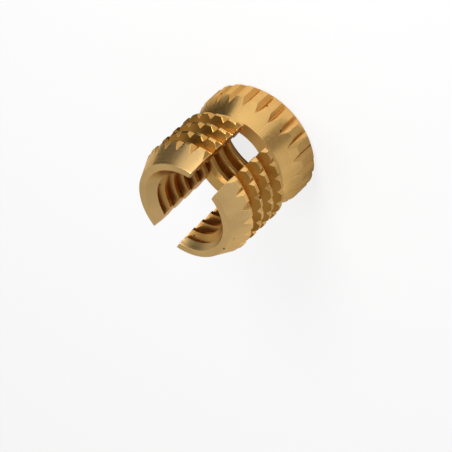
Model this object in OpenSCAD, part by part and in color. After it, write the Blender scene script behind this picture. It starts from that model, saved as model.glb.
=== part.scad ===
// Slotted press-in threaded insert, turned from one piece of brass bar.
// It stands on its solid collar end, and its split, tapered nose is up.
// The origin is the middle of the collar's end face, and +Z runs along the bore to the nose.
// Sizes are in millimetres.

/* [Overall] */
// Length from the collar's end face to the nose's end face
insert_len = 9; // [8.4:0.1:12]
// Diameter over the knurled crests of the collar, the rings and the nose
crest_d = 8.65; // [8.4:0.05:9.2]
// Diameter at the bottom of the grooves between the rings
root_d = 7.5; // [7.2:0.05:7.8]

/* [Collar] */
// Length of the collar's full-diameter stretch, from its end face
collar_land_len = 1.5; // [0.8:0.1:1.8]
// Length of the cone that runs from the collar down to the neck
collar_cone_len = 1.58; // [1:0.02:1.8]
// Width of the chamfer on the edge of the collar's end face
collar_chamfer = 0.25; // [0.1:0.05:0.4]
// Length of the plain neck between the collar's cone and the first ring
neck_len = 0.34; // [0.1:0.02:0.5]

/* [Grip rings] */
// Number of sharp rings between the neck and the nose
ring_count = 3; // [1:1:3]
// Distance from one ring to the next, and from the last ring to the nose's crest
ring_pitch = 1.15; // [1.1:0.01:1.2]
// Width of the crest that each ring keeps
ring_land = 0.23; // [0.15:0.01:0.27]
// Length of the flank that faces the collar
ring_back_run = 0.33; // [0.2:0.01:0.35]
// Length of the flank that faces the nose
ring_front_run = 0.46; // [0.3:0.01:0.47]

/* [Nose] */
// Diameter of the nose's flat end face
nose_face_d = 7.32; // [6.8:0.02:7.8]

/* [Knurl] */
// Number of straight V grooves round the outside
knurl_count = 24; // [18:1:28]
// Width of a V groove where it opens at the crest
knurl_w = 0.6; // [0.4:0.02:0.7]
// Depth of a V groove below the crest
knurl_depth = 0.23; // [0.1:0.01:0.3]

/* [Slot] */
// Width of the slot that splits the nose across its diameter
slot_w = 2.05; // [1.5:0.05:2.4]
// Height of the slot's flat floor above the collar's end face
slot_floor_z = 3.09; // [2.6:0.01:4]

/* [Bore] */
// Diameter across the thread's crests, which is the size of the hole before it is tapped
thread_minor_d = 4.917; // [4.9:0.001:5.1]
// Diameter of the countersink where it opens in each end face
mouth_d = 6.3; // [6:0.05:6.5]
// Included angle of the countersink
mouth_angle = 90; // [60:5:120]

/* [Hidden] */

$fn = 96;
// How far a cutting shape runs past the surface that it cuts
over = 0.5;

crest_r = crest_d / 2;
root_r = root_d / 2;
collar_cone_end_z = collar_land_len + collar_cone_len;
first_ring_z = collar_cone_end_z + neck_len + ring_back_run;
nose_land_start_z = first_ring_z + ring_count * ring_pitch;
nose_land_end_z = nose_land_start_z + ring_land;
knurl_step = 360 / knurl_count;
mouth_depth = (mouth_d - thread_minor_d) / 2 / tan(mouth_angle / 2);
mouth_over_d = mouth_d + 2 * over * tan(mouth_angle / 2);

// Outline of one ring, from the root before it to the root after it, as radius and height.
function ring_outline(z) = [
    [root_r, z - ring_back_run],
    [crest_r, z],
    [crest_r, z + ring_land],
    [root_r, z + ring_land + ring_front_run]
];

collar_outline = [
    [0, 0],
    [crest_r - collar_chamfer, 0],
    [crest_r, collar_chamfer],
    [crest_r, collar_land_len],
    [root_r, collar_cone_end_z]
];

rings_outline = [
    for (i = [0 : ring_count - 1], point = ring_outline(first_ring_z + i * ring_pitch)) point
];

nose_outline = [
    [root_r, nose_land_start_z - ring_back_run],
    [crest_r, nose_land_start_z],
    [crest_r, nose_land_end_z],
    [nose_face_d / 2, insert_len],
    [0, insert_len]
];

// The solid as it leaves the lathe, before it is knurled, slotted and bored.
module turned_blank() {
    rotate_extrude()
        polygon(concat(collar_outline, rings_outline, nose_outline));
}

// One V groove along the whole length. Its sides stay straight past the crest, so that on the
// cones the groove narrows to a point where its bottom comes out.
module knurl_groove() {
    groove_bottom_r = crest_r - knurl_depth;
    mouth_r = crest_r + over;
    mouth_half_w = (knurl_w / 2) * (mouth_r - groove_bottom_r) / knurl_depth;
    translate([0, 0, -over])
        linear_extrude(height = insert_len + 2 * over)
            polygon([
                [groove_bottom_r, 0],
                [mouth_r, -mouth_half_w],
                [mouth_r, mouth_half_w]
            ]);
}

// All the V grooves, one of them on the slot's centre line.
module knurl() {
    for (i = [0 : knurl_count - 1])
        rotate([0, 0, 90 + i * knurl_step])
            knurl_groove();
}

// The saw cut across the nose, which leaves two springy halves.
module slot() {
    slot_len = crest_d + 2 * over;
    slot_depth = insert_len - slot_floor_z + over;
    translate([-slot_w / 2, -slot_len / 2, slot_floor_z])
        cube([slot_w, slot_len, slot_depth]);
}

// A countersink at the collar's end face, opening downwards.
module collar_mouth() {
    translate([0, 0, -over])
        cylinder(h = mouth_depth + over, d1 = mouth_over_d, d2 = thread_minor_d);
}

// The same countersink at the nose's end face, opening upwards.
module nose_mouth() {
    translate([0, 0, insert_len])
        mirror([0, 0, 1])
            collar_mouth();
}

// The hole for the screw, at the diameter of the thread's crests.
module tapping_hole() {
    translate([0, 0, -over])
        cylinder(h = insert_len + 2 * over, d = thread_minor_d);
}

module threaded_insert() {
    color("goldenrod")
        difference() {
            turned_blank();
            knurl();
            slot();
            tapping_hole();
            collar_mouth();
            nose_mouth();
        }
}

threaded_insert();
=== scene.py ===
"""Looks of a slotted, knurled, press-in threaded insert, turned in one piece from brass bar.

The insert is modelled in millimetres the way it is machined: a blank is turned, knurl grooves and
the slot are cut, the edges are broken, and an M6 tap cuts the bore. It is then brought to metres,
dressed in brass and set on a pale floor in soft studio light.
"""

import logging
import math
from dataclasses import dataclass, field
from enum import Enum

import bpy
from mathutils import Matrix, Vector


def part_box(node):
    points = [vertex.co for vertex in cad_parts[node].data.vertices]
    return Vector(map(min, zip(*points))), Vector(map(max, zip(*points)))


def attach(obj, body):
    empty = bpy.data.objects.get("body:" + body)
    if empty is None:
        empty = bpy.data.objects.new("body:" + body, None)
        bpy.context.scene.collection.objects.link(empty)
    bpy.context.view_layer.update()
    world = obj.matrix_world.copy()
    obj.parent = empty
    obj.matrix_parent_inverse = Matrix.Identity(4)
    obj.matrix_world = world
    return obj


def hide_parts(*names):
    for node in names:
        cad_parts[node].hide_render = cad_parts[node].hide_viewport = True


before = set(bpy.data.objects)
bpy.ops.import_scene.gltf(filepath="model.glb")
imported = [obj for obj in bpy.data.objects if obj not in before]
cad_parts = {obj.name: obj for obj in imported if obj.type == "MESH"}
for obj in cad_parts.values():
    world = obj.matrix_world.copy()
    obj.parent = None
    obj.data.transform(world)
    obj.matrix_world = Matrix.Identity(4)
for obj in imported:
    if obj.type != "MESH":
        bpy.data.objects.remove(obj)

MM = 0.001
FULL_TURN = 2 * math.pi
NODE = "threaded_insert"
BODY = "root"
MIDDLE = (0.0, 0.0, 0.0)
UP = (0.0, 0.0, 1.0)

# Millimetres within which two vertices become one
WELD = 1e-4
# Millimetres within which a face counts as lying on a surface
TOUCH = 1e-3

# Sockets of the Mix node when it mixes colours
MIX_SHARE = 0
MIX_FIRST = 6
MIX_SECOND = 7
MIX_RESULT = 2

Point = tuple[float, float, float]
Colour = tuple[float, float, float]

log = logging.getLogger("threaded_insert")


def direction(azimuth: float, elevation: float) -> Vector:
    """Turn two angles into a unit vector.

    Args:
        azimuth: Degrees from +X towards +Y.
        elevation: Degrees above the floor.

    Returns:
        The unit vector that points that way.
    """
    a = math.radians(azimuth)
    e = math.radians(elevation)
    return Vector((math.cos(a) * math.cos(e), math.sin(a) * math.cos(e), math.sin(e)))


def deselect_all() -> None:
    """Leave edit mode and drop the selection, so that the next operator acts on nothing old."""
    if bpy.context.object and bpy.context.object.mode != "OBJECT":
        bpy.ops.object.mode_set(mode="OBJECT")
    bpy.ops.object.select_all(action="DESELECT")


def make_active(piece: bpy.types.Object) -> None:
    """Select one object alone and make it the active one.

    Args:
        piece: The object that the next operators act on.
    """
    deselect_all()
    piece.select_set(True)
    bpy.context.view_layer.objects.active = piece


def apply_modifier(piece: bpy.types.Object, kind: str, **settings: object) -> None:
    """Add one modifier to a piece, set it up and apply it at once.

    Args:
        piece: The object that gets the modifier.
        kind: Blender's name for the modifier, such as BEVEL.
        settings: The modifier's properties and their values.
    """
    make_active(piece)
    bpy.ops.object.modifier_add(type=kind)
    modifier = piece.modifiers[-1]
    for name, value in settings.items():
        setattr(modifier, name, value)
    bpy.ops.object.modifier_apply(modifier=modifier.name)


def draw_chain(name: str, points: list[Point]) -> bpy.types.Object:
    """Draw an open line of edges by extruding a single vertex from point to point.

    Args:
        name: The new object's name.
        points: The line's corners, in millimetres.

    Returns:
        The new object, in edit mode.
    """
    deselect_all()
    bpy.ops.mesh.primitive_plane_add(size=1.0, location=points[0])
    piece = bpy.context.object
    piece.name = name
    bpy.ops.object.transform_apply(location=True)
    bpy.ops.object.mode_set(mode="EDIT")
    bpy.ops.mesh.select_all(action="SELECT")
    bpy.ops.mesh.merge(type="CENTER")
    for here, there in zip(points, points[1:]):
        step = tuple(b - a for a, b in zip(here, there))
        bpy.ops.mesh.extrude_region_move(TRANSFORM_OT_translate={"value": step})
    bpy.ops.mesh.select_all(action="SELECT")
    return piece


def weld_and_face_out() -> None:
    """Merge doubled vertices of the mesh in edit mode, then turn its faces outwards."""
    bpy.ops.mesh.select_all(action="SELECT")
    bpy.ops.mesh.remove_doubles(threshold=WELD)
    bpy.ops.mesh.normals_make_consistent(inside=False)
    bpy.ops.object.mode_set(mode="OBJECT")


def cut_with(piece: bpy.types.Object, cutter: bpy.types.Object) -> None:
    """Subtract a cutter from a piece and remove the cutter.

    Args:
        piece: The object that is cut.
        cutter: The closed shape that is taken away.
    """
    apply_modifier(piece, "BOOLEAN", operation="DIFFERENCE", solver="MANIFOLD", object=cutter)
    bpy.data.objects.remove(cutter)


@dataclass
class Blank:
    """The insert as it leaves the lathe, with a drilled hole and no knurl, slot or thread.

    All sizes are in millimetres.
    """

    length: float
    crest_d: float = 8.65
    root_d: float = 7.5
    collar_land_len: float = 1.5
    collar_cone_len: float = 1.58
    collar_chamfer: float = 0.25
    neck_len: float = 0.34
    ring_count: int = 3
    ring_pitch: float = 1.15
    ring_land: float = 0.23
    ring_back_run: float = 0.33
    ring_front_run: float = 0.46
    nose_face_d: float = 7.32
    mouth_d: float = 6.3
    drill_d: float = 4.6
    sides: int = 264

    @property
    def neck_end(self) -> float:
        """Give the height at which the neck ends and the first ring's back begins."""
        return self.collar_land_len + self.collar_cone_len + self.neck_len

    @property
    def nose_crest(self) -> float:
        """Give the height at which the nose reaches its full diameter."""
        return self.neck_end + self.ring_back_run + self.ring_count * self.ring_pitch

    def outline(self) -> list[Point]:
        """Draw the half section, from the collar's mouth round to the nose's mouth.

        Returns:
            The half section's corners, in the plane of X and Z.
        """
        crest = self.crest_d / 2
        root = self.root_d / 2
        mouth = self.mouth_d / 2
        drill = self.drill_d / 2
        rows = [
            (drill, mouth - drill),
            (mouth, 0.0),
            (crest - self.collar_chamfer, 0.0),
            (crest, self.collar_chamfer),
            (crest, self.collar_land_len),
            (root, self.collar_land_len + self.collar_cone_len),
        ]
        crest_z = self.neck_end + self.ring_back_run
        for _ in range(self.ring_count):
            rows += [
                (root, crest_z - self.ring_back_run),
                (crest, crest_z),
                (crest, crest_z + self.ring_land),
                (root, crest_z + self.ring_land + self.ring_front_run),
            ]
            crest_z += self.ring_pitch
        rows += [
            (root, crest_z - self.ring_back_run),
            (crest, crest_z),
            (crest, crest_z + self.ring_land),
            (self.nose_face_d / 2, self.length),
            (mouth, self.length),
            (drill, self.length - (mouth - drill)),
        ]
        return [(radius, 0.0, height) for radius, height in rows]

    def turn(self, name: str) -> bpy.types.Object:
        """Spin the half section round the bore's axis.

        Args:
            name: The new object's name.

        Returns:
            The closed, turned blank.
        """
        outline = self.outline()
        piece = draw_chain(name, outline + outline[:1])
        bpy.ops.mesh.spin(steps=self.sides, angle=FULL_TURN, center=MIDDLE, axis=UP)
        weld_and_face_out()
        # Half a side, so that each knurl groove has its middle on the middle of a flat
        piece.rotation_euler = (0.0, 0.0, FULL_TURN / self.sides / 2)
        bpy.ops.object.transform_apply(rotation=True)
        return piece


@dataclass
class Knurl:
    """Straight V grooves along the whole outside. Sizes are in millimetres."""

    crest_d: float
    length: float
    count: int = 24
    width: float = 0.6
    depth: float = 0.23
    over: float = 0.1

    def cutter(self) -> bpy.types.Object:
        """Model one groove as a prism and spin copies of it round the axis.

        Returns:
            All the grooves as one object of closed prisms.
        """
        bottom = self.crest_d / 2 - self.depth
        mouth = self.crest_d / 2 + self.over
        half = self.width / 2 * (mouth - bottom) / self.depth
        low = -self.over
        section = [(bottom, 0.0, low), (mouth, -half, low), (mouth, half, low)]
        piece = draw_chain("knurl_cutter", section)
        bpy.ops.mesh.edge_face_add()
        rise = (0.0, 0.0, self.length + 2 * self.over)
        bpy.ops.mesh.extrude_region_move(TRANSFORM_OT_translate={"value": rise})
        bpy.ops.mesh.select_all(action="SELECT")
        bpy.ops.mesh.spin(
            steps=self.count, angle=FULL_TURN, center=MIDDLE, axis=UP, dupli=True
        )
        weld_and_face_out()
        return piece


@dataclass
class Slot:
    """The saw cut across the nose, along Y. Sizes are in millimetres."""

    across: float
    top: float
    width: float = 2.05
    floor_z: float = 3.09
    over: float = 1.0

    def cutter(self) -> bpy.types.Object:
        """Model the cut as a box that runs out of the sides and the top.

        Returns:
            The box, in millimetres.
        """
        height = self.top - self.floor_z + self.over
        deselect_all()
        bpy.ops.mesh.primitive_cube_add(size=1.0, location=(0.0, 0.0, self.floor_z + height / 2))
        piece = bpy.context.object
        piece.name = "slot_cutter"
        piece.scale = (self.width, self.across + 2 * self.over, height)
        bpy.ops.object.transform_apply(location=True, scale=True)
        return piece


@dataclass
class Thread:
    """A right-hand M6 thread, modelled as the tap that cuts it.

    Sizes are in millimetres. The two flats are shares of the pitch, and ridge_z is the height at
    which one ridge of the thread passes +X.
    """

    length: float
    pitch: float = 1.0
    major_d: float = 6.0
    minor_d: float = 4.917
    crest_flat: float = 1 / 4
    root_flat: float = 1 / 8
    ridge_z: float = 0.05
    steps: int = 120
    lead_turns: int = 3
    over: float = 0.5

    def profile(self) -> list[Point]:
        """Draw one turn of the tap: the ridge left in the bore, then the groove of 60 degrees.

        Returns:
            The turn's corners, in the plane of X and Z.
        """
        core = self.minor_d / 2
        tip = self.major_d / 2
        crest_half = self.pitch * self.crest_flat / 2
        root_half = self.pitch * self.root_flat / 2
        low = self.ridge_z - self.lead_turns * self.pitch
        groove = low + self.pitch / 2
        return [
            (core, 0.0, low - crest_half),
            (core, 0.0, low + crest_half),
            (tip, 0.0, groove - root_half),
            (tip, 0.0, groove + root_half),
            (core, 0.0, low + self.pitch - crest_half),
        ]

    def tap(self) -> bpy.types.Object:
        """Sweep the profile up the axis and close it at both ends.

        Returns:
            The tap as a closed solid, longer than the insert at both ends.
        """
        piece = draw_chain("tap", self.profile())
        bpy.ops.object.mode_set(mode="OBJECT")
        turns = math.ceil(self.length / self.pitch) + 2 * self.lead_turns
        apply_modifier(
            piece,
            "SCREW",
            axis="Z",
            angle=FULL_TURN,
            screw_offset=self.pitch,
            iterations=turns,
            steps=self.steps,
            render_steps=self.steps,
            use_merge_vertices=True,
            merge_threshold=WELD,
        )
        bpy.ops.object.mode_set(mode="EDIT")
        for height, side in ((-self.over, -1.0), (self.length + self.over, 1.0)):
            bpy.ops.mesh.select_all(action="SELECT")
            bpy.ops.mesh.bisect(
                plane_co=(0.0, 0.0, height),
                plane_no=(0.0, 0.0, side),
                use_fill=True,
                clear_outer=True,
            )
        weld_and_face_out()
        return piece


class Marks(Enum):
    """The way that a tool's marks run on a surface."""

    AROUND = "around the bore"
    ALONG = "along the bore"
    SAW = "arcs of a saw blade"


@dataclass(frozen=True)
class BrassFinish:
    """How one kind of machined brass surface looks. Some finishes carry painted light or shade in
    their colour.
    """

    name: str
    colour: Colour
    stain_colour: Colour
    stain: float
    roughness: float
    marks: Marks
    lines_per_mm: float
    mark_depth: float


FACED = BrassFinish(
    name="faced_brass",
    colour=(0.83, 0.543, 0.220),
    stain_colour=(0.54, 0.36, 0.14),
    stain=0.42,
    roughness=0.23,
    marks=Marks.AROUND,
    lines_per_mm=14.0,
    mark_depth=0.45,
)
TURNED = BrassFinish(
    name="turned_brass",
    colour=(0.81, 0.497, 0.171),
    stain_colour=(0.52, 0.33, 0.11),
    stain=0.35,
    roughness=0.22,
    marks=Marks.AROUND,
    lines_per_mm=14.0,
    mark_depth=0.45,
)
# Painted shade: the knurl facets that face one way round, as a darker, rougher copy of the other
# facets' brass.
SHADED_FACET = BrassFinish(
    name="dragged_brass",
    colour=(0.59, 0.323, 0.090),
    stain_colour=(0.44, 0.22, 0.05),
    stain=0.30,
    roughness=0.28,
    marks=Marks.ALONG,
    lines_per_mm=8.0,
    mark_depth=0.30,
)
# Painted light: the knurl facets that face the other way round, as a brighter, smoother copy of the
# same brass.
LIT_FACET = BrassFinish(
    name="rolled_brass",
    colour=(0.88, 0.54, 0.190),
    stain_colour=(0.60, 0.35, 0.10),
    stain=0.15,
    roughness=0.17,
    marks=Marks.ALONG,
    lines_per_mm=10.0,
    mark_depth=0.20,
)
SAWN = BrassFinish(
    name="sawn_brass",
    colour=(0.76, 0.46, 0.145),
    stain_colour=(0.46, 0.27, 0.08),
    stain=0.30,
    roughness=0.28,
    marks=Marks.SAW,
    lines_per_mm=9.0,
    mark_depth=0.45,
)
# The tapped thread, with painted shade: its brass is made darker than the turned outside for the
# shade inside the bore.
TAPPED_SHADED = BrassFinish(
    name="tapped_brass",
    colour=(0.66, 0.365, 0.104),
    stain_colour=(0.42, 0.19, 0.04),
    stain=0.25,
    roughness=0.24,
    marks=Marks.AROUND,
    lines_per_mm=10.0,
    mark_depth=0.25,
)
# Painted shade: the ring flanks that face the nose, as turned brass made darker and redder for the
# shade in the grooves between the rings, with strong random stains.
GROOVE_SHADE = BrassFinish(
    name="grooved_brass",
    colour=(0.53, 0.248, 0.049),
    stain_colour=(0.30, 0.12, 0.013),
    stain=0.65,
    roughness=0.18,
    marks=Marks.AROUND,
    lines_per_mm=12.0,
    mark_depth=0.30,
)
FINISHES = (TURNED, LIT_FACET, SAWN, TAPPED_SHADED, GROOVE_SHADE, SHADED_FACET, FACED)


class NodeDesk:
    """Places and joins shader nodes in one node tree."""

    def __init__(self, tree: bpy.types.NodeTree) -> None:
        """Start on an empty tree.

        Args:
            tree: The node tree that gets the nodes.
        """
        self.tree = tree
        tree.nodes.clear()

    def add(self, kind: str, **inputs: object) -> bpy.types.Node:
        """Place a node and fill its sockets.

        Args:
            kind: The node's type, such as ShaderNodeMath.
            inputs: Properties, or sockets named in lower case with underscores. A value that is
                an output socket is joined, and any other is set.

        Returns:
            The new node.
        """
        node = self.tree.nodes.new(kind)
        sockets = {s.name.lower().replace(" ", "_"): s for s in reversed(node.inputs)}
        for name, value in inputs.items():
            if name not in sockets:
                setattr(node, name, value)
            elif isinstance(value, bpy.types.NodeSocket):
                self.tree.links.new(value, sockets[name])
            else:
                sockets[name].default_value = value
        return node

    def maths(self, operation: str, *values: object) -> bpy.types.NodeSocket:
        """Place a maths node and give its output.

        Args:
            operation: What the node does, such as MULTIPLY.
            values: Its numbers or sockets, in order.

        Returns:
            The node's output socket.
        """
        node = self.tree.nodes.new("ShaderNodeMath")
        node.operation = operation
        for socket, value in zip(node.inputs, values):
            if isinstance(value, bpy.types.NodeSocket):
                self.tree.links.new(value, socket)
            else:
                socket.default_value = value
        return node.outputs[0]

    def length(self, one: bpy.types.NodeSocket, other: bpy.types.NodeSocket) -> bpy.types.NodeSocket:
        """Work out how long a flat vector is.

        Args:
            one: The vector's first part.
            other: The vector's second part.

        Returns:
            The length's socket.
        """
        squares = [self.maths("MULTIPLY", part, part) for part in (one, other)]
        return self.maths("SQRT", self.maths("ADD", *squares))

    def blend(
        self, share: bpy.types.NodeSocket, first: bpy.types.NodeSocket, second: bpy.types.NodeSocket
    ) -> bpy.types.NodeSocket:
        """Mix two colours.

        Args:
            share: How much of the second colour shows, from 0 to 1.
            first: The first colour.
            second: The second colour.

        Returns:
            The mixed colour's socket.
        """
        node = self.tree.nodes.new("ShaderNodeMix")
        node.data_type = "RGBA"
        self.tree.links.new(share, node.inputs[MIX_SHARE])
        self.tree.links.new(first, node.inputs[MIX_FIRST])
        self.tree.links.new(second, node.inputs[MIX_SECOND])
        return node.outputs[MIX_RESULT]


def new_group(
    name: str, inputs: list[tuple[str, str, object]], outputs: list[tuple[str, str]]
) -> tuple[NodeDesk, bpy.types.Node, bpy.types.Node]:
    """Make an empty shader node group with named sockets.

    Args:
        name: The group's name.
        inputs: Name, socket type and default value of each input.
        outputs: Name and socket type of each output.

    Returns:
        The desk for the group, its input node and its output node.
    """
    tree = bpy.data.node_groups.new(name, "ShaderNodeTree")
    desk = NodeDesk(tree)
    for label, kind, value in inputs:
        socket = tree.interface.new_socket(label, in_out="INPUT", socket_type=kind)
        if value is not None:
            socket.default_value = value
    for label, kind in outputs:
        tree.interface.new_socket(label, in_out="OUTPUT", socket_type=kind)
    return desk, desk.add("NodeGroupInput"), desk.add("NodeGroupOutput")


@dataclass(frozen=True)
class ToolMarks:
    """The fine, uneven lines that a tool leaves, in one group for all the finishes."""

    lines_per_mm: float = 10.0
    line_detail: float = 3.0
    line_roughness: float = 0.6
    coarse_per_mm: float = 5.0
    coarse_detail: float = 1.0
    coarse_roughness: float = 0.5

    def group(self) -> bpy.types.NodeTree:
        """Make the group that turns a position across the marks into lines.

        Returns:
            The group, which gives the lines' height and their coarse part alone.
        """
        desk, given, result = new_group(
            "tool_marks",
            [
                ("Across", "NodeSocketVector", None),
                ("Lines", "NodeSocketFloat", self.lines_per_mm),
            ],
            [("Height", "NodeSocketFloat"), ("Coarse", "NodeSocketFloat")],
        )
        across = given.outputs["Across"]
        lines = desk.maths("MULTIPLY", given.outputs["Lines"], 1 / MM)
        line_place = desk.add("ShaderNodeVectorMath", operation="SCALE", vector=across)
        desk.tree.links.new(lines, line_place.inputs["Scale"])
        line = desk.add(
            "ShaderNodeTexNoise",
            vector=line_place.outputs[0],
            scale=1.0,
            detail=self.line_detail,
            roughness=self.line_roughness,
        )
        coarse_place = desk.add("ShaderNodeVectorMath", operation="SCALE", vector=across)
        coarse_place.inputs["Scale"].default_value = self.coarse_per_mm / MM
        coarse = desk.add(
            "ShaderNodeTexNoise",
            vector=coarse_place.outputs[0],
            scale=1.0,
            detail=self.coarse_detail,
            roughness=self.coarse_roughness,
        )
        both = desk.maths("ADD", line.outputs["Fac"], coarse.outputs["Fac"])
        mean = desk.maths("MULTIPLY", both, 1 / 2)
        desk.tree.links.new(mean, result.inputs["Height"])
        desk.tree.links.new(coarse.outputs["Fac"], result.inputs["Coarse"])
        return desk.tree


@dataclass(frozen=True)
class Stains:
    """Soft stained patches and a few dark pits, in one group for all the finishes.

    The scales say how many patches or cells go to a metre. A pit's rim and heart are distances
    from its middle, in cells, and a cell has a pit where its random shade is above the rarity.
    """

    clean: Colour = (0.8, 0.5, 0.2)
    stained: Colour = (0.5, 0.3, 0.1)
    pit: Colour = (0.09, 0.06, 0.03)
    amount: float = 0.3
    patch_scale: float = 420.0
    patch_detail: float = 2.0
    patch_roughness: float = 0.55
    patch_distortion: float = 0.4
    patch_start: float = 0.42
    patch_full: float = 0.72
    pit_scale: float = 900.0
    pit_rim: float = 0.10
    pit_heart: float = 0.05
    pit_rarity: float = 0.6

    def group(self) -> bpy.types.NodeTree:
        """Make the group that stains a clean colour and sets the pits in it.

        Returns:
            The group, which gives the colour and a mask of what isn't clean.
        """
        desk, given, result = new_group(
            "stain",
            [
                ("Clean", "NodeSocketColor", (*self.clean, 1.0)),
                ("Stained", "NodeSocketColor", (*self.stained, 1.0)),
                ("Pit", "NodeSocketColor", (*self.pit, 1.0)),
                ("Amount", "NodeSocketFloat", self.amount),
            ],
            [("Colour", "NodeSocketColor"), ("Mask", "NodeSocketFloat")],
        )
        place = desk.add("ShaderNodeTexCoord").outputs["Object"]
        cloud = desk.add(
            "ShaderNodeTexNoise",
            vector=place,
            scale=self.patch_scale,
            detail=self.patch_detail,
            roughness=self.patch_roughness,
            distortion=self.patch_distortion,
        )
        patch = desk.add(
            "ShaderNodeMapRange",
            value=cloud.outputs["Fac"],
            from_min=self.patch_start,
            from_max=self.patch_full,
        )
        mask = desk.maths("MULTIPLY", patch.outputs[0], given.outputs["Amount"])
        cells = desk.add("ShaderNodeTexVoronoi", vector=place, scale=self.pit_scale)
        dot = desk.add(
            "ShaderNodeMapRange",
            value=cells.outputs["Distance"],
            from_min=self.pit_rim,
            from_max=self.pit_heart,
        )
        chosen = desk.maths("GREATER_THAN", cells.outputs["Color"], self.pit_rarity)
        pit = desk.maths("MULTIPLY", dot.outputs[0], chosen)
        stained = desk.blend(mask, given.outputs["Clean"], given.outputs["Stained"])
        pitted = desk.blend(pit, stained, given.outputs["Pit"])
        desk.tree.links.new(pitted, result.inputs["Colour"])
        desk.tree.links.new(desk.maths("MAXIMUM", mask, pit), result.inputs["Mask"])
        return desk.tree


@dataclass
class BrassShop:
    """Makes the brass materials from their finishes, with the groups that they share.

    The tint is what bare brass mirrors at a glancing angle. The drift says how much a mark
    changes along its own way. The blade's height is in metres and the relief in millimetres.
    """

    edge_tint: Colour = (0.86, 0.72, 0.52)
    drift: float = 0.02
    blade_height: float = 0.030
    relief: float = 0.007
    stain_roughens: float = 0.15
    marks_roughen: float = 0.08
    marks: bpy.types.NodeTree = field(init=False)
    stain: bpy.types.NodeTree = field(init=False)

    def __post_init__(self) -> None:
        """Build the shared groups once."""
        self.marks = ToolMarks().group()
        self.stain = Stains().group()

    def _across(self, desk: NodeDesk, marks: Marks) -> bpy.types.NodeSocket:
        """Give a vector that changes fast across the tool's marks and slowly along them.

        Args:
            desk: The material's node desk.
            marks: The way the marks run.

        Returns:
            The vector's socket, in metres across the marks.
        """
        place = desk.add("ShaderNodeTexCoord")
        split = desk.add("ShaderNodeSeparateXYZ", vector=place.outputs["Object"])
        x, y, z = split.outputs
        if marks is Marks.AROUND:
            drift = desk.maths("MULTIPLY", x, self.drift)
            row = desk.add("ShaderNodeCombineXYZ", x=desk.length(x, y), y=drift, z=z)
        elif marks is Marks.ALONG:
            drift = desk.maths("MULTIPLY", z, self.drift)
            row = desk.add("ShaderNodeCombineXYZ", x=x, y=y, z=drift)
        else:
            drop = desk.maths("SUBTRACT", z, self.blade_height)
            drift = desk.maths("MULTIPLY", y, self.drift)
            row = desk.add("ShaderNodeCombineXYZ", x=desk.length(y, drop), y=drift, z=x)
        return row.outputs[0]

    def material(self, finish: BrassFinish) -> bpy.types.Material:
        """Make one brass material.

        Args:
            finish: The look to make.

        Returns:
            The new material.
        """
        made = bpy.data.materials.new(finish.name)
        made.use_nodes = True
        desk = NodeDesk(made.node_tree)
        across = self._across(desk, finish.marks)
        marks = desk.add("ShaderNodeGroup", node_tree=self.marks)
        desk.tree.links.new(across, marks.inputs["Across"])
        marks.inputs["Lines"].default_value = finish.lines_per_mm
        stain = desk.add("ShaderNodeGroup", node_tree=self.stain)
        stain.inputs["Clean"].default_value = (*finish.colour, 1.0)
        stain.inputs["Stained"].default_value = (*finish.stain_colour, 1.0)
        stain.inputs["Amount"].default_value = finish.stain
        mask = stain.outputs["Mask"]
        rough = desk.maths("MULTIPLY_ADD", mask, self.stain_roughens, finish.roughness)
        rough = desk.maths("MULTIPLY_ADD", marks.outputs["Coarse"], self.marks_roughen, rough)
        bump = desk.add(
            "ShaderNodeBump",
            strength=finish.mark_depth,
            distance=self.relief * MM,
            height=marks.outputs["Height"],
        )
        shader = desk.add(
            "ShaderNodeBsdfPrincipled",
            base_color=stain.outputs["Colour"],
            metallic=1.0,
            specular_tint=(*self.edge_tint, 1.0),
            roughness=rough,
            normal=bump.outputs[0],
        )
        desk.add("ShaderNodeOutputMaterial", surface=shader.outputs[0])
        return made


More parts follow.
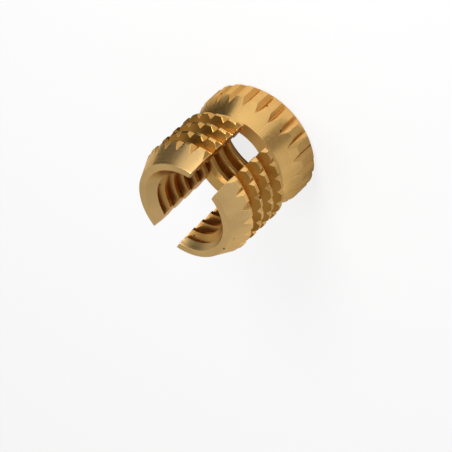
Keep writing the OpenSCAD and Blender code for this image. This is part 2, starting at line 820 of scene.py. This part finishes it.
@dataclass
class ThreadedInsert:
    """The whole insert: one turned blank with its knurl, slot and thread.

    Sizes are in millimetres and angles in degrees. The values from square_on to front_tilt tell
    the surfaces apart by how far a face's normal goes out, up or across.
    """

    length: float
    edge_break: float = 0.02
    edge_steps: int = 2
    edge_angle: float = 15.0
    short_edge: float = 0.008
    end_play: float = 0.002
    smooth_angle: float = 12.0
    square_on: float = 0.99
    upright: float = 0.02
    facet_least: float = 0.1
    facet_most: float = 0.9
    front_tilt: float = 0.6
    blank: Blank = field(init=False)
    knurl: Knurl = field(init=False)
    slot: Slot = field(init=False)
    thread: Thread = field(init=False)

    def __post_init__(self) -> None:
        """Give each tool the sizes that it shares with the blank."""
        self.blank = Blank(length=self.length)
        self.knurl = Knurl(crest_d=self.blank.crest_d, length=self.length)
        self.slot = Slot(across=self.blank.crest_d, top=self.length)
        self.thread = Thread(length=self.length)

    def machine(self) -> bpy.types.Object:
        """Turn, knurl, slot, deburr and tap the piece, in that order.

        Returns:
            The machined piece, in millimetres.
        """
        piece = self.blank.turn("insert_body")
        cut_with(piece, self.knurl.cutter())
        cut_with(piece, self.slot.cutter())
        self._break_edges(piece)
        self._true_ends(piece)
        cut_with(piece, self.thread.tap())
        return piece

    def _break_edges(self, piece: bpy.types.Object) -> None:
        """Round every edge a little, as tumbling leaves it.

        Args:
            piece: The cut blank.
        """
        make_active(piece)
        bpy.ops.object.mode_set(mode="EDIT")
        bpy.ops.mesh.select_all(action="SELECT")
        bpy.ops.mesh.remove_doubles(threshold=self.short_edge)
        bpy.ops.object.mode_set(mode="OBJECT")
        apply_modifier(
            piece,
            "BEVEL",
            width=self.edge_break,
            segments=self.edge_steps,
            limit_method="ANGLE",
            angle_limit=math.radians(self.edge_angle),
            use_clamp_overlap=False,
        )

    def _true_ends(self, piece: bpy.types.Object) -> None:
        """Press both end faces flat, where breaking the edges moved a corner by a hair.

        Args:
            piece: The piece with its edges broken.
        """
        for height in (0.0, self.length):
            make_active(piece)
            bpy.ops.object.mode_set(mode="EDIT")
            bpy.ops.mesh.select_all(action="DESELECT")
            bpy.ops.object.mode_set(mode="OBJECT")
            for vertex in piece.data.vertices:
                vertex.select = abs(vertex.co.z - height) < self.end_play
            bpy.ops.object.mode_set(mode="EDIT")
            bpy.ops.transform.resize(value=(1.0, 1.0, 0.0), center_override=(0.0, 0.0, height))
            bpy.ops.object.mode_set(mode="OBJECT")

    def _finish_of(self, face: bpy.types.MeshPolygon) -> BrassFinish:
        """Say which finish a face has, by its place and the way it looks.

        Args:
            face: A face of the finished piece, in millimetres.

        Returns:
            The finish that the last tool left on the face. On the knurl's facets, the ring flanks
            that face the nose and the thread, its colour also holds painted light or shade.
        """
        x, y, z = face.center
        n = face.normal
        radius = math.hypot(x, y)
        outward = Vector((x, y, 0.0)).normalized().dot(n)
        half_slot = self.slot.width / 2
        on_wall = abs(abs(x) - half_slot) < self.edge_break and abs(n.x) > self.square_on
        at_floor = abs(z - self.slot.floor_z) < TOUCH and abs(x) < half_slot
        if on_wall or (n.z > self.square_on and at_floor):
            return SAWN
        # A countersink leans by 45 degrees, so its normal goes as far out as up
        leans = abs(abs(outward) - abs(n.z)) <= TOUCH
        # The thread gets the darker brass, painted shade inside the bore.
        if radius < self.thread.major_d / 2 + TOUCH and not leans:
            return TAPPED_SHADED
        turned_aside = self.facet_least < outward < self.facet_most
        # Knurl facets that face one way round get painted light, and those that face the other way
        # get painted shade.
        if abs(n.z) < self.upright and turned_aside and radius > self.blank.root_d / 2:
            return LIT_FACET if x * n.y - y * n.x > 0 else SHADED_FACET
        # Ring flanks that face the nose get painted shade.
        if self.blank.neck_end < z < self.blank.nose_crest and n.z > self.front_tilt:
            return GROOVE_SHADE
        return FACED if z > self.blank.nose_crest + self.blank.ring_land else TURNED

    def dress(self, piece: bpy.types.Object, shop: BrassShop) -> None:
        """Give each face its finish and shade the turned surfaces smooth.

        Args:
            piece: The machined piece, still in millimetres.
            shop: Where the materials are made.
        """
        piece.data.materials.clear()
        for finish in FINISHES:
            piece.data.materials.append(shop.material(finish))
        number = {finish.name: place for place, finish in enumerate(FINISHES)}
        for face in piece.data.polygons:
            face.material_index = number[self._finish_of(face).name]
        make_active(piece)
        bpy.ops.object.shade_smooth_by_angle(angle=math.radians(self.smooth_angle))

    def to_metres(self, piece: bpy.types.Object) -> None:
        """Bring the piece to metres, with its size and place in its mesh.

        Args:
            piece: The dressed piece, in millimetres.
        """
        make_active(piece)
        piece.scale = (MM, MM, MM)
        bpy.ops.object.transform_apply(location=True, rotation=True, scale=True)

    def build(self, shop: BrassShop) -> bpy.types.Object:
        """Make the finished insert and set it in the frame.

        Args:
            shop: Where the materials are made.

        Returns:
            The insert, in metres, riding on its body.
        """
        piece = self.machine()
        self.dress(piece, shop)
        self.to_metres(piece)
        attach(piece, BODY)
        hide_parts(NODE)
        log.info("%s: %d faces", piece.name, len(piece.data.polygons))
        return piece


@dataclass(frozen=True)
class Softbox:
    """A square area lamp that looks at the insert.

    Lengths are in metres and angles in degrees. The level is how bright the lamp's face is,
    where 1 is white.
    """

    name: str
    azimuth: float
    elevation: float
    distance: float
    size: float
    level: float

    def hang(self, aim: Vector) -> None:
        """Hang the lamp and point it at the insert.

        Args:
            aim: The point that the lamp looks at.
        """
        data = bpy.data.lights.new(self.name, "AREA")
        data.shape = "SQUARE"
        data.size = self.size
        data.energy = self.level * math.pi * self.size**2
        lamp = bpy.data.objects.new(self.name, data)
        away = direction(self.azimuth, self.elevation)
        lamp.location = aim + away * self.distance
        lamp.rotation_mode = "QUATERNION"
        lamp.rotation_quaternion = away.to_track_quat("Z", "Y")
        bpy.context.scene.collection.objects.link(lamp)
        log.info("%s: lamp", self.name)


@dataclass(frozen=True)
class Zone:
    """A round part of the surroundings that is lighter or darker than the rest.

    Angles are in degrees. The change is whole within the core and gone at the edge.
    """

    azimuth: float
    elevation: float
    core: float
    edge: float
    change: float


class Rest(Enum):
    """The way that a card is set up."""

    STANDING = "upright, facing the insert"
    LYING = "flat on the floor"


@dataclass(frozen=True)
class Card:
    """A card beside the insert that only the metal shows. The lying cards are painted shade on the
    floor.

    Lengths are in metres. The base is how high a standing card starts, and the sink is how far
    a lying card lies under the insert.
    """

    name: str
    azimuth: float
    distance: float
    width: float
    height: float
    shade: float
    rest: Rest = Rest.STANDING
    base: float = 0.0
    sink: float = 0.000005

    def _material(self) -> bpy.types.Material:
        """Make the card's matt paper.

        Returns:
            The new material.
        """
        made = bpy.data.materials.new(self.name)
        made.use_nodes = True
        desk = NodeDesk(made.node_tree)
        paper = desk.add("ShaderNodeBsdfDiffuse", color=(self.shade, self.shade, self.shade, 1.0))
        desk.add("ShaderNodeOutputMaterial", surface=paper.outputs[0])
        return made

    def place(self) -> None:
        """Set the card up, with its middle the given distance from the bore's axis."""
        deselect_all()
        bpy.ops.mesh.primitive_plane_add(size=1.0)
        card = bpy.context.object
        card.name = self.name
        card.scale = (self.width, self.height, 1.0)
        away = direction(self.azimuth, 0.0)
        stands = self.rest is Rest.STANDING
        tilt = math.radians(90.0) if stands else 0.0
        card.rotation_euler = (tilt, 0.0, math.radians(self.azimuth - 90.0))
        rise = self.base + self.height / 2 if stands else -self.sink
        card.location = away * self.distance + Vector((0.0, 0.0, rise))
        card.data.materials.append(self._material())
        card.visible_camera = False
        card.visible_shadow = False
        card.visible_diffuse = False
        log.info("%s: card", self.name)


@dataclass
class Studio:
    """The floor, the surrounding light, the lamps and the cards.

    Lengths are in metres. The two floor_white values are how much of the floor shows as plain
    white, to the eye and in the metal.
    """

    floor_size: float = 3.0
    floor_drop: float = 0.00001
    floor_colour: Colour = (0.90, 0.90, 0.90)
    floor_white_seen: float = 0.80
    floor_white_in_metal: float = 0.10
    world_level: float = 0.27
    zones: tuple[Zone, ...] = (
        Zone(azimuth=198.0, elevation=4.0, core=12.0, edge=30.0, change=-0.16),
        Zone(azimuth=217.0, elevation=22.0, core=8.0, edge=26.0, change=0.36),
        Zone(azimuth=56.0, elevation=10.0, core=14.0, edge=52.0, change=0.30),
        Zone(azimuth=-20.0, elevation=16.0, core=30.0, edge=68.0, change=0.22),
        Zone(azimuth=40.0, elevation=65.0, core=8.0, edge=28.0, change=0.18),
        Zone(azimuth=263.0, elevation=36.0, core=10.0, edge=35.0, change=0.26),
        Zone(azimuth=108.0, elevation=-12.0, core=10.0, edge=36.0, change=0.72),
        Zone(azimuth=142.0, elevation=6.0, core=10.0, edge=30.0, change=0.50),
    )
    lamps: tuple[Softbox, ...] = (
        Softbox("side_softbox", 122.0, 35.0, distance=0.08, size=0.028, level=17.0),
        Softbox("top_softbox", 200.0, 75.0, distance=0.08, size=0.031, level=5.0),
    )
    cards: tuple[Card, ...] = (
        Card("low_flag", 182.0, distance=0.0086, width=0.012, height=0.004, shade=0.06),
        Card("tall_flag", 180.5, distance=0.018, width=0.018, height=0.0095, shade=0.20),
        Card("high_flag", 170.0, distance=0.018, width=0.014, height=0.010, shade=0.07, base=0.018),
        Card("right_flag", 70.0, distance=0.0096, width=0.0045, height=0.004, shade=0.48),
        # Painted shade on the floor behind the insert, lying flat and seen only in the metal, which
        # darkens the collar's reflection there.
        Card("back_mat", 216.0, 0.0105, width=0.008, height=0.008, shade=0.30, rest=Rest.LYING),
        # Painted shadow of the insert on the floor beside it, lying flat and seen only in the metal.
        Card("side_mat", 35.0, 0.0086, width=0.016, height=0.009, shade=0.53, rest=Rest.LYING),
    )

    def _floor_material(self) -> bpy.types.Material:
        """Make a pale floor that reads as white to the eye and in the metal.

        Returns:
            The new material.
        """
        made = bpy.data.materials.new("pale_floor")
        made.use_nodes = True
        desk = NodeDesk(made.node_tree)
        ray = desk.add("ShaderNodeLightPath")
        mirrored = desk.maths(
            "MAXIMUM", ray.outputs["Is Glossy Ray"], ray.outputs["Is Transmission Ray"]
        )
        white_share = desk.maths(
            "ADD",
            desk.maths("MULTIPLY", ray.outputs["Is Camera Ray"], self.floor_white_seen),
            desk.maths("MULTIPLY", mirrored, self.floor_white_in_metal),
        )
        lit = desk.add("ShaderNodeBsdfDiffuse", color=(*self.floor_colour, 1.0))
        white = desk.add("ShaderNodeEmission", color=(1.0, 1.0, 1.0, 1.0), strength=1.0)
        mix = desk.add("ShaderNodeMixShader")
        for socket, value in zip(mix.inputs, (white_share, lit.outputs[0], white.outputs[0])):
            desk.tree.links.new(value, socket)
        desk.add("ShaderNodeOutputMaterial", surface=mix.outputs[0])
        return made

    def lay_floor(self) -> None:
        """Lay the floor just under the insert."""
        deselect_all()
        place = (0.0, 0.0, -self.floor_drop)
        bpy.ops.mesh.primitive_plane_add(size=self.floor_size, location=place)
        floor = bpy.context.object
        floor.name = "floor"
        floor.data.materials.append(self._floor_material())
        log.info("%s: floor", floor.name)

    def _zone_value(
        self, desk: NodeDesk, look: bpy.types.NodeSocket, zone: Zone
    ) -> bpy.types.NodeSocket:
        """Give a zone's change of brightness for the direction that a ray goes.

        Args:
            desk: The world's node desk.
            look: The ray's direction.
            zone: The zone to work out.

        Returns:
            The change, which is nothing outside the zone's edge.
        """
        near = desk.add("ShaderNodeVectorMath", operation="DOT_PRODUCT")
        ray, middle = near.inputs[:2]
        desk.tree.links.new(look, ray)
        middle.default_value = tuple(direction(zone.azimuth, zone.elevation))
        fade = desk.add(
            "ShaderNodeMapRange",
            interpolation_type="SMOOTHSTEP",
            value=near.outputs["Value"],
            from_min=math.cos(math.radians(zone.edge)),
            from_max=math.cos(math.radians(zone.core)),
        )
        return desk.maths("MULTIPLY", fade.outputs[0], zone.change)

    def light_world(self) -> None:
        """Surround the scene with plain, pale light that has brighter and darker sides."""
        world = bpy.data.worlds.new("studio")
        bpy.context.scene.world = world
        world.use_nodes = True
        desk = NodeDesk(world.node_tree)
        look = desk.add("ShaderNodeTexCoord").outputs["Generated"]
        level = self.world_level
        for zone in self.zones:
            level = desk.maths("ADD", level, self._zone_value(desk, look, zone))
        grey = desk.add("ShaderNodeCombineColor", red=level, green=level, blue=level)
        shade = desk.add("ShaderNodeBackground", color=grey.outputs[0], strength=1.0)
        desk.add("ShaderNodeOutputWorld", surface=shade.outputs[0])
        log.info("%s: surrounding light", world.name)

    def build(self, aim: Vector) -> None:
        """Set up the whole studio.

        Args:
            aim: The point that the lamps look at.
        """
        self.lay_floor()
        self.light_world()
        for lamp in self.lamps:
            lamp.hang(aim)
        for card in self.cards:
            card.place()


@dataclass(frozen=True)
class PhotoCamera:
    """The photograph's view: where it stands and how it is turned.

    Lengths are in millimetres and angles in degrees, but near and far are in metres.
    """

    name: str = "photo_camera"
    aim: Point = (2.458, -1.636, 6.338)
    distance: float = 234.5
    azimuth: float = 83.786
    elevation: float = 36.496
    roll: float = 133.228
    lens: float = 281.83
    sensor: float = 36.0
    near: float = 0.01
    far: float = 10.0

    def set_up(self) -> None:
        """Make the camera and use it for the scene."""
        data = bpy.data.cameras.new(self.name)
        data.lens = self.lens
        data.sensor_width = self.sensor
        data.clip_start = self.near
        data.clip_end = self.far
        camera = bpy.data.objects.new(self.name, data)
        bpy.context.scene.collection.objects.link(camera)
        back = direction(self.azimuth, self.elevation)
        level_right = Vector(UP).cross(back).normalized()
        level_up = back.cross(level_right)
        turn = math.radians(self.roll)
        up = level_up * math.cos(turn) + level_right * math.sin(turn)
        right = up.cross(back)
        place = (Vector(self.aim) + back * self.distance) * MM
        turned = Matrix((right, up, back)).transposed().to_4x4()
        camera.matrix_world = Matrix.Translation(place) @ turned
        bpy.context.scene.camera = camera
        log.info("%s: camera", camera.name)


def main() -> None:
    """Build the insert, the studio and the camera."""
    logging.basicConfig(level=logging.INFO, format="%(name)s %(message)s")
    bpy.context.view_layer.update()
    low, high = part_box(NODE)
    bpy.context.scene.view_settings.view_transform = "Standard"
    ThreadedInsert(length=round((high.z - low.z) / MM, 3)).build(BrassShop())
    PhotoCamera().set_up()
    Studio().build(aim=(low + high) / 2)


if __name__ == "__main__":
    main()
